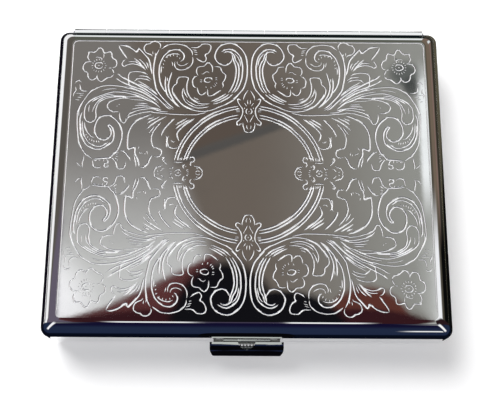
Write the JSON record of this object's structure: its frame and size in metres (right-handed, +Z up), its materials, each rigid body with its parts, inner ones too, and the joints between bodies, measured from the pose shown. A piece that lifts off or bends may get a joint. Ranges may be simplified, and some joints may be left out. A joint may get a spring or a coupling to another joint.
{
  "type": "cigarette case",
  "caption": "Flat hinged metal cigarette case with an engraved scrollwork lid, a front thumb clasp and a sprung retaining arm in each leaf.",
  "frame": {"origin": "middle of the flat underside of the lower leaf", "axes": "+X along the hinge, to the right seen from the clasp side; +Y from the clasp to the hinge; +Z up through the lid"},
  "size_m": [0.095, 0.084, 0.018],
  "materials": {
    "mirror_chrome": "mirror polished chrome plate on pressed sheet",
    "satin_chrome": "satin plated strip",
    "spring_steel": "bright drawn wire and pin steel"
  },
  "bodies": {
    "base": {"base_cover": "mirror_chrome", "base_frame": "satin_chrome", "base_hinge": "mirror_chrome", "hinge_pin": "spring_steel", "base_arm_bracket": "satin_chrome", "base_arm_rivets": "spring_steel", "base_arm_pin": "spring_steel", "base_arm_spring": "spring_steel", "clasp_bracket": "satin_chrome", "clasp_pin": "spring_steel", "clasp_spring": "spring_steel"},
    "lid": {"lid_cover": "mirror_chrome", "lid_frame": "satin_chrome", "lid_hinge": "mirror_chrome", "catch_bead": "mirror_chrome", "lid_arm_bracket": "satin_chrome", "lid_arm_rivets": "spring_steel", "lid_arm_pin": "spring_steel", "lid_arm_spring": "spring_steel"},
    "lower_arm": {"base_arm": "satin_chrome"},
    "upper_arm": {"lid_arm": "satin_chrome"},
    "clasp": {"clasp_bar": "mirror_chrome"}
  },
  "joints": [
    {"name": "lid_hinge_turn", "type": "hinge", "parent": "base", "child": "lid", "pos_m": [0, 0.04045, 0.009], "axis": [-1, 0, 0], "range_deg": [0, 180]},
    {"name": "clasp_release", "type": "hinge", "parent": "base", "child": "clasp", "pos_m": [0, -0.03955, 0.0064], "axis": [1, 0, 0], "range_deg": [0, 15], "stiffness_Nm_per_rad": 0.002, "springref_deg": -85.94, "deforming": ["clasp_spring"]},
    {"name": "lower_arm_lift", "type": "hinge", "parent": "base", "child": "lower_arm", "pos_m": [0, 0.03535, 0.00765], "axis": [-1, 0, 0], "range_deg": [0, 6.7], "stiffness_Nm_per_rad": 0.03, "springref_deg": -57.3, "deforming": ["base_arm_spring"]},
    {"name": "upper_arm_lift", "type": "hinge", "parent": "lid", "child": "upper_arm", "pos_m": [0, 0.03535, 0.01035], "axis": [1, 0, 0], "range_deg": [0, 6.7], "stiffness_Nm_per_rad": 0.03, "springref_deg": -57.3, "deforming": ["lid_arm_spring"]}
  ]
}
